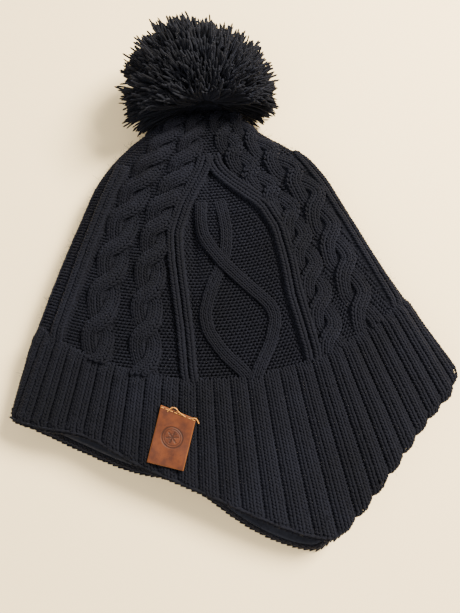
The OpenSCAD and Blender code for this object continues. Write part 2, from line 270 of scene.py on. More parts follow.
roll = {"radius": 2.8, "turn": 2.7}  # the hem rolls under; turn in radians


def wrapped(r, psi, lift, side=1):
    # the skin, and past the hem the roll of its edge
    r, psi, lift = np.broadcast_arrays(np.asarray(r, float), np.asarray(psi, float), np.asarray(lift, float))
    c = hemAt(psi, side) - roll["radius"]
    over = np.clip(r - c, 0, None)
    base = skin(np.minimum(r, c), psi, lift, side)
    core = skin(c, psi, -roll["radius"], side)
    up = skin(c, psi, 0, side) - core
    out = skin(c + 0.2, psi, -roll["radius"], side) - skin(c - 0.2, psi, -roll["radius"], side)
    up /= np.maximum(1e-9, np.linalg.norm(up, axis=-1, keepdims=True))
    out /= np.maximum(1e-9, np.linalg.norm(out, axis=-1, keepdims=True))
    turn = (over / roll["radius"])[..., None]
    rolled = core + (roll["radius"] + lift)[..., None] * (np.cos(turn) * up + np.sin(turn) * out)
    return np.where((over > 0)[..., None], rolled, base)


def bandTop(psi):
    return hat["fan"] - hat["bandH"] - hat["bandRise"] * np.clip(psi / halfDeg, -1, 1) ** 2


print("shape of the hat worked out")


# small shapes that are repeated, and the one function that lays copies of them
def legShape(sideSign, row, wale):
    # one leg of a knit stitch: plump, leaning outwards, its upper end tucked under the stitch above
    bm = bmesh.new()
    bmesh.ops.create_uvsphere(bm, u_segments=6, v_segments=5, radius=1)
    for vert in bm.verts:
        a, y, z = vert.co.z, vert.co.x, vert.co.y
        fat = max(1e-6, math.hypot(y, z)) ** -0.3
        vert.co = (a * row * 0.80, sideSign * wale * (0.25 - 0.15 * a + 0.02 * a * a) + y * fat * wale * 0.235,
                   z * fat * wale * 0.26 + (0.30 * a - 0.22 * a * a) * wale * 0.5)
    return bm


def bumpShape(row, wale, turn):
    # half of a purl stitch: a short arc that lies across the fabric
    bm = bmesh.new()
    bmesh.ops.create_uvsphere(bm, u_segments=6, v_segments=4, radius=1)
    for vert in bm.verts:
        a, y, z = vert.co.z, vert.co.x, vert.co.y
        vert.co = (turn * row * (0.16 - 0.34 * a * a) + y * row * 0.40, a * wale * 0.44,
                   z * wale * 0.26 - 0.22 * wale * a * a)
    return bm


def shapeArrays(shapes):
    # bmesh shapes as one set of arrays: points, corner lists and a flat map along and round the strand
    points, corners, sizes, flat, base = [], [], [], [], 0
    for bm in shapes:
        bmesh.ops.recalc_face_normals(bm, faces=bm.faces)
        co = np.array([vert.co[:] for vert in bm.verts])
        mid = co.mean(0)
        for face in bm.faces:
            sizes.append(len(face.verts))
            for vert in face.verts:
                corners.append(vert.index + base)
                p = co[vert.index] - mid
                flat.append((p[0] * 0.9, math.atan2(p[2], p[1]) * 0.16))
        points.append(co)
        base += len(co)
        bm.free()
    return np.concatenate(points), np.array(corners), np.array(sizes), np.array(flat)


def newObject(name, mesh, mat):
    obj = bpy.data.objects.new(name, mesh)
    bpy.context.scene.collection.objects.link(obj)
    mesh.materials.append(mat)
    return obj


def fromBmesh(name, bm, mat):
    mesh = bpy.data.meshes.new(name)
    bm.to_mesh(mesh)
    bm.free()
    return newObject(name, mesh, mat)


def fillMesh(mesh, co, corner, size, flat):
    mesh.vertices.add(len(co))
    mesh.vertices.foreach_set("co", co.astype(np.float32).ravel())
    mesh.loops.add(len(corner))
    mesh.loops.foreach_set("vertex_index", corner.astype(np.int32))
    mesh.polygons.add(len(size))
    mesh.polygons.foreach_set("loop_start", np.concatenate([[0], np.cumsum(size)[:-1]]).astype(np.int32))
    mesh.update(calc_edges=True)
    uv = mesh.uv_layers.new(name="yarn")
    uv.data.foreach_set("uv", flat.astype(np.float32).ravel())
    mesh.polygons.foreach_set("use_smooth", np.ones(len(size), bool))
    bm = bmesh.new()  # a mirrored copy comes out inside out, so every closed shape is turned outwards
    bm.from_mesh(mesh)
    bmesh.ops.recalc_face_normals(bm, faces=bm.faces[:])
    bm.to_mesh(mesh)
    bm.free()


def layCopies(name, batches, mat):
    # batches: (shape arrays, frames) with frames of shape (n, 4, 3): place in mm and the three local axes
    allCo, allCorner, allSize, allFlat, base = [], [], [], [], 0
    for (points, corners, sizes, flat), frames in batches:
        n, k = len(frames), len(points)
        co = frames[:, None, 0, :] + np.einsum("pk,nkc->npc", points, frames[:, 1:, :])
        allCo.append(co.reshape(-1, 3))
        allCorner.append((corners[None, :] + k * np.arange(n)[:, None]).ravel() + base)
        allSize.append(np.tile(sizes, n))
        allFlat.append((flat[None] + rng.uniform(0, 9, (n, 1, 2))).reshape(-1, 2))
        base += n * k
    co, corner, size = np.concatenate(allCo) / 1000, np.concatenate(allCorner), np.concatenate(allSize)
    mesh = bpy.data.meshes.new(name)
    fillMesh(mesh, co, corner, size, np.concatenate(allFlat))
    obj = newObject(name, mesh, mat)
    print(name, "with", int((size - 2).sum()), "triangles")
    return obj


def framesOn(path, s, w, side=1, jitter=0.06, surface=skin):
    # place and axes of stitches: along the strand, across it, out of the fabric
    e = 0.2
    p0 = surface(*path(s, w), side)
    ds = (surface(*path(s + e, w), side) - surface(*path(s - e, w), side)) / (2 * e)
    dw = (surface(*path(s, w + e), side) - surface(*path(s, w - e), side)) / (2 * e)
    n = np.cross(ds, dw) * side
    # a stitch keeps its size where the fabric's map is stretched
    for axis in (n, ds, dw):
        long = np.maximum(1e-9, np.linalg.norm(axis, axis=1, keepdims=True))
        axis /= long if axis is n else np.maximum(1, long / 1.15)
    p0 = p0 + rng.normal(0, jitter, p0.shape)
    wobble = 1 + rng.normal(0, 0.03, (len(p0), 1))
    lean = rng.normal(0, 0.04, (len(p0), 1))
    return np.stack([p0, (ds + lean * dw) * wobble, (dw - lean * ds) * wobble, n], 1)


# the knit of the near side
# stitch sizes in mm, on the coarse side so that the columns show
knit = {"row": 1.72, "wale": 2.65, "purl": 2.173, "ground": -1.3, "ropeWide": 17.2, "strand": 8.3, "ropeOver": 1.7}
knitLeg = shapeArrays([legShape(1, knit["row"], knit["wale"]), legShape(-1, knit["row"], knit["wale"])])
purlBump = shapeArrays([bumpShape(knit["row"], knit["purl"], 1)])

# centre lines of the knit motifs: distance from the fan's point, angle
lines = {
    "ropeFrontOuter": [(104, -8.0), (112, -9.6), (126, -12.6), (145, -15.9), (165, -17.5), (190, -17.9), (220, -17.7),
                       (252, -16.9)],
    "ropeFrontInner": [(104, -3.0), (112, -3.6), (126, -5.2), (147, -8.3), (165, -10.9), (190, -11.5), (220, -11.3),
                       (256, -10.7)],
    "ropeBackInner": [(104, 2.9), (112, 3.6), (126, 5.0), (145, 8.2), (159, 11.4), (175, 13.5), (210, 13.2),
                      (228, 12.7), (256, 12.4)],
    "ropeBackOuter": [(104, 7.6), (112, 9.2), (126, 12.0), (145, 15.6), (165, 18.6), (193, 18.4), (214, 18.2), (252, 17.9)],
    "twinFront": [(131, -0.9), (140, -2.4), (150, -4.7), (158, -6.3), (175, -7.9), (190, -7.4), (210, -6.5),
                  (230, -5.8), (262, -5.1)],
    "twinBack": [(131, 0.3), (138, 0.9), (145, 2.9), (152, 5.3), (165, 9.2), (180, 10.6), (199, 10.4),
                 (218, 9.8), (262, 9.8)],
    "twinFoldFront": [(140, -20.9), (165, -22.0), (190, -22.4), (250, -22.6)],
    "twinFoldBack": [(140, 20.5), (165, 22.4), (190, 22.6), (250, 22.6)],
    "diamondOver": [(158, -3.0), (168, -3.2), (177, -2.9), (185, -1.5), (194, 0.3), (208, 3.7), (220, 6.2), (228, 6.5),
                    (240, 5.2), (252, 3.2), (260, 2.3)],
    "diamondUnder": [(158, 0.9), (168, 1.3), (177, 1.4), (186, 0.9), (194, 0.0), (206, -1.9), (220, -3.1), (230, -2.8),
                     (243, -0.9), (254, 1.4), (260, 2.1)],
}
lobes = {  # distance from the fan's point at which the strands of each rope cross
    "ropeFrontInner": [96, 107, 119, 132, 145, 158, 173, 191, 211, 231, 251, 271],
    "ropeFrontOuter": [98, 109, 121, 135, 150, 167, 188, 208, 231, 252, 272],
    "ropeBackInner": [94, 106, 118, 131, 145, 159, 175, 192, 209, 226, 244, 262],
    "ropeBackOuter": [98, 110, 123, 138, 154, 173, 193, 213, 234, 254, 274],
}


def smoothLine(name):
    # the centre line through its points, softened
    pts = np.array(lines[name], float)
    r = np.linspace(pts[0, 0], pts[-1, 0], 400)
    phi = np.interp(r, pts[:, 0], pts[:, 1])
    span = max(5, int(12 / (r[1] - r[0])) | 1)
    kernel = np.hanning(span + 2)[1:-1]
    padded = np.concatenate([2 * phi[0] - phi[span // 2:0:-1], phi, 2 * phi[-1] - phi[-2:-span // 2 - 1:-1]])
    return r, np.convolve(padded, kernel / kernel.sum(), "valid")


centre = {name: smoothLine(name) for name in lines}


def ropeWidth(r):
    return np.interp(r, [100, 112, 126, 145, 165], [0.50, 0.66, 0.84, 0.97, 1.0]) * knit["ropeWide"]


def ropeStrand(name, which):
    # one of the two strands of a rope: its line over r, and its height
    r = np.linspace(centre[name][0][0], centre[name][0][-1], 1600)
    p = np.interp(r, lobes[name], np.arange(len(lobes[name]))) + which
    u = -np.sin(np.pi * p)
    reach = (ropeWidth(r) - knit["strand"] * ropeWidth(r) / knit["ropeWide"]) / 2
    x = reach * np.tanh(1.5 * u) / math.tanh(1.5)
    z = np.cos(np.pi * p) * knit["ropeOver"]
    phi = np.interp(r, *centre[name]) + np.degrees(x / r)
    return r, phi, z


def strandPath(r, phi, z, dome, wide, squeeze=None):
    # path function over the length along the strand and the distance across it
    dr, dx = np.diff(r), r[:-1] * np.radians(np.diff(phi))
    s = np.concatenate([[0], np.cumsum(np.hypot(dr, dx))])
    slope = np.arctan2(r * np.radians(np.gradient(phi)), np.gradient(r))

    def path(at, w):
        rr, pp, a, zz = (np.interp(at, s, q) for q in (r, phi, slope, z))
        k = 1.0 if squeeze is None else squeeze(rr)
        w = w * k
        lift = zz + dome * (np.sqrt(np.clip(1.15 - (w / (wide * k / 2)) ** 2, 0.02, 2)) - 1)
        return rr - w * np.sin(a), pp + np.degrees(w * np.cos(a) / rr), lift
    return path, s[-1]


def layWales(path, length, wales, width, keep):
    # knit stitches in columns along a path; keep is a test on r, angle and lift
    pitch = width / wales
    s = np.arange(knit["row"] * 0.5, length, knit["row"])
    frames = []
    for j in range(wales):
        w = np.full_like(s, (j - (wales - 1) / 2) * pitch)
        column = framesOn(path, s, w)[keep(*path(s, w))]
        column[:, 2] *= pitch / knit["wale"]
        frames.append(column)
    return np.concatenate(frames)


def inCrown(r, psi, _lift):
    return r < bandTop(psi) - 0.5


def ropeFrames(name):
    out = []
    for which in (0, 1):
        r, phi, z = ropeStrand(name, which)
        shape, length = strandPath(r, phi, z, 1.9, knit["strand"], lambda q: ropeWidth(q) / knit["ropeWide"])
        # a strand's stitches that lie right under the other strand are left out
        out.append(layWales(shape, length, 3, knit["strand"], keep=lambda a, b, c: inCrown(a, b, c) & (c > -2.6)))
    return np.concatenate(out)


def ropePair(name, outer, inner):
    return layCopies(name, [(knitLeg, np.concatenate([ropeFrames(outer), ropeFrames(inner)]))], knitYarn)


ropesFront = ropePair("knit_ropes_front", "ropeFrontOuter", "ropeFrontInner")
ropesBack = ropePair("knit_ropes_back", "ropeBackOuter", "ropeBackInner")

ribFrames = []
for name in ("twinFront", "twinBack", "twinFoldFront", "twinFoldBack"):
    for sign in (-1, 1):
        r, phi = centre[name]
        bold = 1.12 if "Fold" not in name else 0.95
        z = 0.5 * bold - 0.9 * ease((r - bandTop(phi) + 7) / 7)  # sinks as it runs into the band
        shape, length = strandPath(r, phi + sign * np.degrees(2.15 * bold / r), z, 1.3, 3.6)
        ribFrames.append(layWales(shape, length, 1, 3.5 * bold, keep=inCrown))
for name, over in (("diamondOver", 1), ("diamondUnder", -1)):
    r, phi = centre[name]
    z = np.where(np.abs(r - 194) < 9, over * 0.9, 0.0) + 0.2 - 1.6 * np.clip((168 - r) / 12, 0, 1)
    z = np.convolve(np.pad(z, 12, "edge"), np.ones(25) / 25, "valid")
    if over < 0:
        z = z - 0.9 * np.exp(-((r - 259) / 5) ** 2)
    shape, length = strandPath(r, phi, z, 1.4, 6.8)
    ribFrames.append(layWales(shape, length, 3, 6.6, keep=inCrown))
motifs = layCopies("knit_twin_ribs_and_diamond", [(knitLeg, np.concatenate(ribFrames))], knitYarn)

# wales that run along the two folds of the crown; the back ones are drawn in by the seam
foldFrames = {"front": [], "back": []}
for which, index in (("front", 0), ("back", 1)):
    s = np.arange(topR + 4, 246, knit["row"])
    for offset in (-2.3, 0, 2.3):
        def foldPath(r, w, index=index, offset=offset):
            sunk = -0.9 if index == 1 and offset == 0 else -0.4
            return r, foldCurve(r)[index] + np.degrees((offset + w) / r), np.full_like(r, sunk)
        got = framesOn(foldPath, s, np.zeros_like(s))
        foldFrames[which].append(got[inCrown(s, foldCurve(s)[index], 0)])
frontFold = layCopies("knit_front_fold", [(knitLeg, np.concatenate(foldFrames["front"]))], knitYarn)
backFold = layCopies("knit_back_seam", [(knitLeg, np.concatenate(foldFrames["back"]))], knitYarn)
print("cables laid")

# purl ground between the motifs
ground = []
row, wale = knit["row"], knit["purl"]
for k, r in enumerate(np.arange(topR + 5, 262, row)):
    lo, hi = foldCurve(r)
    x = np.arange(math.floor(lo * math.radians(1) * r / wale) * wale, hi * math.radians(1) * r, wale) + (k % 2) * wale / 2
    psi = np.degrees(x / r)
    edge = math.degrees(2.4 / r)
    keep = (psi > lo + edge) & (psi < hi - edge) & (r < bandTop(psi))
    for name in centre:
        if r < centre[name][0][0] or r > centre[name][0][-1] + 2:
            continue
        half = ropeWidth(r) / 2 - 1.4 if name.startswith("rope") else 3.4 if name.startswith("twin") else 2.9
        if name.startswith("diamond") and r < 166:
            continue
        keep &= np.abs(psi - np.interp(r, *centre[name])) * math.radians(1) * r > half
    ground.append(np.stack([np.full(keep.sum(), r), psi[keep]], 1))
ground = np.concatenate(ground)


def groundPath(r, psi):
    # the ground dips beside the twin ribs, and in the crease that runs up from where they meet
    crease = np.interp(r, [100, 140, 165], [0.0, -1.0, -1.9])
    dip = -0.8 * np.exp(-((psi - crease) * np.radians(r) / 1.6) ** 2) * ((r < 166) & (r > 120))
    for name in ("twinFront", "twinBack"):
        away = np.abs(psi - np.interp(r, *centre[name])) * np.radians(r)
        dip = dip - 0.7 * np.exp(-((away - 5.0) / 1.6) ** 2) * (r > 136)
    return r, psi, knit["ground"] + dip


def groundFrames(r, psi):
    e = 0.2
    p0 = skin(*groundPath(r, psi))
    ds = (skin(*groundPath(r + e, psi)) - skin(*groundPath(r - e, psi))) / (2 * e)
    dw = (skin(*groundPath(r, psi + e)) - skin(*groundPath(r, psi - e))) / (2 * e)
    dw /= np.linalg.norm(dw, axis=1, keepdims=True)
    n = np.cross(ds, dw)
    n /= np.linalg.norm(n, axis=1, keepdims=True)
    return np.stack([p0 + rng.normal(0, 0.06, p0.shape), ds, dw, n], 1)


purls = layCopies("knit_purl_ground", [(purlBump, groundFrames(ground[:, 0], ground[:, 1]))], knitYarn)

# the ribbed band, which runs on into the flap
ribsFront, ribsBack, channelFrames = [], [], []
for i in range(-16, 17):
    psi = band["first"] + i * band["period"]
    v = skinV(np.array([280.0]), np.array([psi + band["period"] / 2]))[0]
    if v > 186 or v < -6:
        continue
    pad = band["period"] * band["channel"] / 2
    for j in range(3):
        at = psi + band["period"] / 2 + (j - 1) / 1.5 * (band["period"] / 2 - pad)
        s = np.arange(float(bandTop(at)) - 1.0, float(hemAt(np.array([at]), 1)[0]) + 4.6, row)

        def ribPath(rr, w, at=at, psi=psi):
            here = at + np.degrees(w / rr)
            u = (here - psi - band["period"] / 2) / (band["period"] / 2)
            return rr, here, band["height"] * (1 - 1.25 * u * u) * ease((rr - bandTop(here) + 3) / 8) - 0.75
        got = framesOn(ribPath, s, np.zeros_like(s), surface=wrapped)
        got[:, 2] *= (s * math.radians(band["period"] * (1 - band["channel"])) / 3 / knit["wale"])[:, None]
        (ribsFront if psi < 6 else ribsBack).append(got)

    def channelPath(rr, w, psi=psi):
        return rr, psi + np.degrees(w / rr), np.full_like(rr, -1.0)
    s = np.arange(float(bandTop(psi)) - 1.0, float(hemAt(np.array([psi]), 1)[0]) + 4.6, row)
    channelFrames.append(framesOn(channelPath, s, np.zeros_like(s), surface=wrapped))
    channelFrames[-1][:, 2] *= 0.9
channels = np.concatenate(channelFrames)
bandFront = layCopies("knit_band_front", [(knitLeg, np.concatenate(ribsFront))], knitYarn)
bandBack = layCopies("knit_band_back", [(knitLeg, np.concatenate(ribsBack)), (purlBump, channels)], knitYarn)


# the bound-off edge: a chain of links that runs along the outer side of the roll
chain = {"pitch": 3.1, "width": 3.3, "turn": 0.95}
chainLink = shapeArrays([legShape(1, chain["pitch"], chain["width"]), legShape(-1, chain["pitch"], chain["width"])])


def hemChain(name, side, last):
    lo, hi = foldCurve(286.0)
    psi = np.linspace(lo + 0.9, min(hi - 0.9, last), 3000)
    turn = roll["radius"] * (chain["turn"] - 1)
    p = wrapped(hemAt(psi, side) + turn, psi, 0, side)
    length = np.concatenate([[0], np.cumsum(np.linalg.norm(np.diff(p, axis=0), axis=1))])

    def chainPath(s, w):
        at = np.interp(s, length, psi)
        return hemAt(at, side) + turn + w, at, 0.6 - 1.1 * ease((at - 6) / 2.5) * (side > 0) - 0.35 * (side < 0)
    s = np.arange(0.5, length[-1], chain["pitch"])
    frames = framesOn(chainPath, s, np.zeros_like(s), side, surface=wrapped)
    frames[:, 1] /= np.linalg.norm(frames[:, 1], axis=1, keepdims=True)
    frames[:, 2] /= np.linalg.norm(frames[:, 2], axis=1, keepdims=True)
    return layCopies(name, [(chainLink, frames)], knitYarn)


hemNear = hemChain("bound_off_edge_near", 1, 8.5)
hemFar = hemChain("bound_off_edge_far", -1, 30)
print("ribs laid")


# sheets of fabric that follow the hat
def fabric(name, nu, nv, shape, mat, side, inner=None):
    # a grid mapped by shape(u, v), both 0 to 1, to points in mm; inner maps the second wall of a closed cloth
    bm = bmesh.new()
    bmesh.ops.create_grid(bm, x_segments=nu, y_segments=nv, size=0.5)
    if inner:  # the wall is made while the grid is flat, so its rim is even at the folds
        bm.normal_update()
        bmesh.ops.solidify(bm, geom=bm.faces[:], thickness=0.1)
    flat = np.array([vert.co[:] for vert in bm.verts])
    uv = flat[:, :2] + 0.5
    co = shape(uv[:, 0], uv[:, 1])
    if inner:
        co = np.where(np.abs(flat[:, 2:]) > 0.05, inner(uv[:, 0], uv[:, 1]), co)
    layer = bm.loops.layers.uv.new("yarn")
    for vert, p in zip(bm.verts, co / 1000):
        vert.co = p
    for face in bm.faces:
        for loop in face.loops:
            loop[layer].uv = uv[loop.vert.index] * (92, 108)
        face.smooth = True
    bm.normal_update()
    if inner:
        bmesh.ops.recalc_face_normals(bm, faces=bm.faces[:])
    elif side * sum(face.normal.z * face.calc_area() for face in bm.faces) < 0:
        bmesh.ops.reverse_faces(bm, faces=bm.faces[:])  # the near side faces up, the far side down
    return fromBmesh(name, bm, mat)


def sheetShape(side, gap, beyond, lift, past=0.0):
    # the sheet starts gap mm below the crown's top, ends beyond mm after the hem, and goes past degrees round the folds
    def rowPsi(r, u):
        lo, hi = foldCurve(r)
        return lo - past + (hi - lo + 2 * past) * u

    def shape(u, v):
        r = np.full_like(u, 200.0)
        for _ in range(3):  # a row's fold limits hang on its own distance, so they are closed in on
            r = topR + gap + (hemAt(rowPsi(r, u), side) + beyond - topR - gap) * v
        psi = rowPsi(r, u)
        return wrapped(r, psi, lift(r, psi) if callable(lift) else lift, side)
    return shape


def knitRelief(r, psi, side=-1):
    # one side's knit as one surface: ropes, twin ribs, ground and the ribbed band
    out = np.full_like(r, knit["ground"])
    for name in ("ropeFrontOuter", "ropeFrontInner", "ropeBackInner", "ropeBackOuter"):
        for which in (0, 1):
            rr, phi, z = ropeStrand(name, which)
            x = (psi - np.interp(r, rr, phi)) * np.radians(r)
            half = knit["strand"] / 2 * ropeWidth(r) / knit["ropeWide"]
            h = np.interp(r, rr, z) + 1.9 * (np.sqrt(np.clip(1.15 - (x / half) ** 2, 0.02, 2)) - 1)
            out = np.where((np.abs(x) < half) & (r > 104), np.maximum(out, h), out)
    for name in ("twinFront", "twinBack", "twinFoldFront", "twinFoldBack", "diamondOver", "diamondUnder"):
        rr, phi = centre[name]
        x = np.abs(psi - np.interp(r, rr, phi)) * np.radians(r)
        wide = 3.8 if name.startswith("diamond") else 1.8
        x = x if name.startswith("diamond") else np.abs(x - 2.0)
        h = -0.1 + 1.3 * (np.sqrt(np.clip(1.15 - (x / wide) ** 2, 0.02, 2)) - 1)
        out = np.where((x < wide) & (r > rr[0]), np.maximum(out, h), out)
    u = ((psi - band["first"]) / band["period"]) % 1 * 2 - 1
    rib = band["height"] * (1 - 1.25 * u * u) - 0.75 - 0.6 * (np.abs(u) > 0.9)
    rolled = ease((r - hemAt(psi, side) + roll["radius"] + 3) / 3)
    rib = rib * (1 - rolled) + (0.3 - 0.4 * u * u) * rolled
    return np.where(r > bandTop(psi), rib, out)


def nearBacking(r, psi):
    # what lies behind the near side's stitches: it follows them, a little lower
    rolled = ease((r - hemAt(psi, 1) + roll["radius"] + 3) / 3)
    out = knitRelief(r, psi, 1) - 1.15
    for name in ("twinFront", "twinBack", "twinFoldFront", "twinFoldBack"):  # no hollow is left under the twin ribs
        rr, phi = centre[name]
        x = np.abs(psi - np.interp(r, rr, phi)) * np.radians(r)
        out = out + 1.3 * ease((4.2 - x) / 1.2) * ease((r - rr[0]) / 4) * ease((bandTop(psi) - r) / 4)
    return out * (1 - rolled) - 0.6 * rolled


backing = fabric("knit_backing_near", 270, 260, sheetShape(1, 2, 6.0, nearBacking, past=1.6), knitCloth, 1)
farKnit = fabric("knit_far_side", 300, 300, sheetShape(-1, 2, 6.0, knitRelief), knitCloth, -1)
lining = {"gap": 12.0, "beyond": -0.8, "outer": -5.2, "inner": -7.2}


def liningSheet(name, side):
    walls = [sheetShape(side, lining["gap"], lining["beyond"], lining[wall]) for wall in ("outer", "inner")]
    return fabric(name, 110, 100, walls[0], fleece, side, inner=walls[1])


def flatSize(side):
    # one side of the hat laid out flat: its widest row round the folds, its longest column to the flap's tip
    u, v = np.meshgrid(np.linspace(0, 1, 200), np.linspace(0, 1, 200))
    at = sheetShape(side, 2, 6.0, 0.0)(u.ravel(), v.ravel()).reshape(200, 200, 3)
    rows, columns = (np.linalg.norm(np.diff(at, axis=k), axis=2).sum(k) for k in (1, 0))
    return rows.max() / 1000, columns.max() / 1000


liningNear = liningSheet("fleece_lining_near", 1)
liningFar = liningSheet("fleece_lining_far", -1)
print("sheets made")

# the pompom: cut yarn that springs from the tie, over a dark core
pom = {"strands": 7800, "clumps": 520, "reach": 40.5, "thick": 0.56, "curl": 0.8, "root": (0.0, 1.0, 9.0),
       "fan": 7.0, "flatten": 5.0, "lean": 4.5, "sag": 0.18}
pivot = np.array([apexX, apexY - topR, 13.0])
root = pivot + np.array(pom["root"])


def ballDirections(n):
    k = np.arange(n) + 0.5
    z = 1 - 2 * k / n
    turn = math.pi * (1 + 5 ** 0.5) * k
    flat = np.sqrt(1 - z * z)
    return np.stack([flat * np.cos(turn), z, flat * np.sin(turn)], 1)


def pomReach(d):
    # how far a strand gets in direction d: less on the floor side and over the crown
    up, fore = d[:, 2], -d[:, 1]
    reach = pom["reach"] * (1 + 0.04 * np.abs(d[:, 0]) - 0.05 * d[:, 0]) * (1 - 0.08 * np.clip(-up, 0, 1))
    return reach * (1 - 0.30 * np.clip((fore - 0.05) / 0.5, 0, 1) * np.clip(1 - np.abs(d[:, 0]), 0, 1))


def fanOut(end, d):
    # lying down, the upper strands fall away from the crown and the lower ones spread on the floor
    end = end.copy()
    end[:, 0] -= pom["lean"] * np.clip(d[:, 1], 0, 1)
    end[:, 1] += pom["fan"] * np.clip(d[:, 2], 0, 1)
    end[:, 2] -= pom["flatten"] * np.clip(d[:, 2], 0, 1)
    over = np.clip(1.2 - end[:, 2], 0, None)
    end[:, :2] += d[:, :2] * over[:, None] * 0.3
    end[:, 2] += over
    return end, over


def pomStrands(n, clumps):
    d = ballDirections(n) + rng.normal(0, 0.03, (n, 3))
    d /= np.linalg.norm(d, axis=1, keepdims=True)
    # none on the face towards the crown, a few lean over it at the sides and on top
    limit = np.where(d[:, 2] > 0.42, -0.42, np.where(np.abs(d[:, 0]) > 0.72, -0.27, -0.03))
    d = d[d[:, 1] > limit]
    heads = ballDirections(clumps) + rng.normal(0, 0.04, (clumps, 3))
    heads /= np.linalg.norm(heads, axis=1, keepdims=True)
    own = np.argmax(d @ heads.T, axis=1)
    size = 1 + np.clip(rng.normal(0, 0.05, clumps), -0.12, 0.09)
    long = pomReach(d) * size[own] * (1 + np.clip(rng.normal(0, 0.03, len(d)), -0.09, 0.05))
    pull = 0.42 * (heads[own] - d) + np.clip(rng.normal(0, 0.035, d.shape), -0.08, 0.08)
    end, over = fanOut(root + (d + pull) * long[:, None], d)
    end[:, 2] += (over > 0) * rng.uniform(0, 4.0, len(d))
    start = root + d * 5.0
    start[:, 2] = np.maximum(start[:, 2], 3.0)
    middle = root + d * long[:, None] * 0.60 + rng.normal(0, 2.0, d.shape)
    # the ones beside the crown come out level and sag at their ends, so the pompom can swing
    middle[:, 1] += pom["sag"] * long * ease(-8 * d[:, 1]) * (d[:, 2] < 0.5)
    middle[:, 2] = np.maximum(middle[:, 2], 1.6)
    return start, middle, end


def strandShape(sides, rings):
    # a closed strand from 0 to 1 along x, with a blunt, slightly frayed end
    bm = bmesh.new()
    bmesh.ops.create_uvsphere(bm, u_segments=sides, v_segments=rings, radius=1)
    for vert in bm.verts:
        a, y, z = vert.co.z, vert.co.x, vert.co.y
        fat = max(1e-6, math.hypot(y, z)) ** -0.75
        vert.co = ((math.copysign(abs(a) ** 0.45, a) + 1) / 2, y * fat, z * fat)
    return shapeArrays([bm])


def layStrands(name, start, middle, end, thick, mat, shape, curl=0.0):
    points, corners, sizes, flat = shape
    n, k = len(start), len(points)
    t = points[:, 0][None, :, None]
    line = (1 - t) ** 2 * start[:, None] + 2 * t * (1 - t) * middle[:, None] + t * t * end[:, None]
    along = end - start
    along /= np.linalg.norm(along, axis=1, keepdims=True)
    first = np.cross(along, rng.normal(0, 1, along.shape))
    first /= np.linalg.norm(first, axis=1, keepdims=True)
    second = np.cross(along, first)
    for waves, axis in ((9, first), (8, second)):
        line = line + curl * t * np.sin(waves * t + rng.uniform(0, 6.3, (n, 1, 1))) * axis[:, None]
    wide = thick * (1 + rng.normal(0, 0.10, (n, 1, 1))) * (0.80 + 0.32 * t)
    co = line + wide * (points[:, 1][None, :, None] * first[:, None] + points[:, 2][None, :, None] * second[:, None])
    mesh = bpy.data.meshes.new(name)
    fillMesh(mesh, co.reshape(-1, 3) / 1000, (corners[None, :] + k * np.arange(n)[:, None]).ravel(), np.tile(sizes, n),
             (flat[None] * (30, 4) + rng.uniform(0, 9, (n, 1, 2))).reshape(-1, 2))
    print(name, "with", int((np.tile(sizes, n) - 2).sum()), "triangles")
    return newObject(name, mesh, mat)


start, middle, end = pomStrands(pom["strands"], pom["clumps"])
low = start[:, 2] < root[2] + 1.2
pomYarnPieces = [layStrands(name, start[part], middle[part], end[part], pom["thick"], pomYarn, strandShape(4, 7), pom["curl"])
                 for name, part in (("pompom_yarn_upper", ~low), ("pompom_yarn_lower", low))]

bm = bmesh.new()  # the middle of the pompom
bmesh.ops.create_icosphere(bm, subdivisions=5, radius=1)
co = np.array([vert.co[:] for vert in bm.verts])
co /= np.linalg.norm(co, axis=1, keepdims=True)
short = np.where(co[:, 2] > 0.5, 1.6, 2.3) * np.clip(0.2 - co[:, 1], 0, 1)
reach = pomReach(co) * np.clip(1 - short, 0.15, 1) * (0.70 + rng.normal(0, 0.012, len(co)))
place, over = fanOut(root + co * reach[:, None], co)
place[:, 2] += (over > 0) * 1.0
for vert, p in zip(bm.verts, place / 1000):
    vert.co = p
for face in bm.faces:
    face.smooth = True
pomCore = fromBmesh("pompom_core", bm, pomYarn)
print("pompom made")

# loose fibres that stand off the knit
fuzz = {"count": 5200, "long": 3.4, "thick": 0.045, "lift": 1.5}
r = rng.uniform(topR + 12, 340, fuzz["count"] * 2)
lo, hi = foldCurve(r)
psi = lo - 2 + (hi - lo + 4) * rng.random(len(r))
keep = (r < hemAt(psi, 1) - 1) & (rng.random(len(r)) < r / 300)
r, psi = r[keep][:fuzz["count"]], psi[keep][:fuzz["count"]]
base = skin(r, psi, 0.1)
normal = skin(r, psi, 1.1) - base
swirl = rng.normal(0, 1, base.shape)
swirl /= np.linalg.norm(swirl, axis=1, keepdims=True)
long = fuzz["long"] * rng.uniform(0.4, 1.2, (len(r), 1))
tip = base + normal * fuzz["lift"] * rng.uniform(0.3, 1, (len(r), 1)) + swirl * long
bend = base + normal * fuzz["lift"] * 1.2 + swirl * long * 0.4
fibres = layStrands("loose_fibres", base, bend, tip, fuzz["thick"], knitYarn, strandShape(3, 4), 0.3)

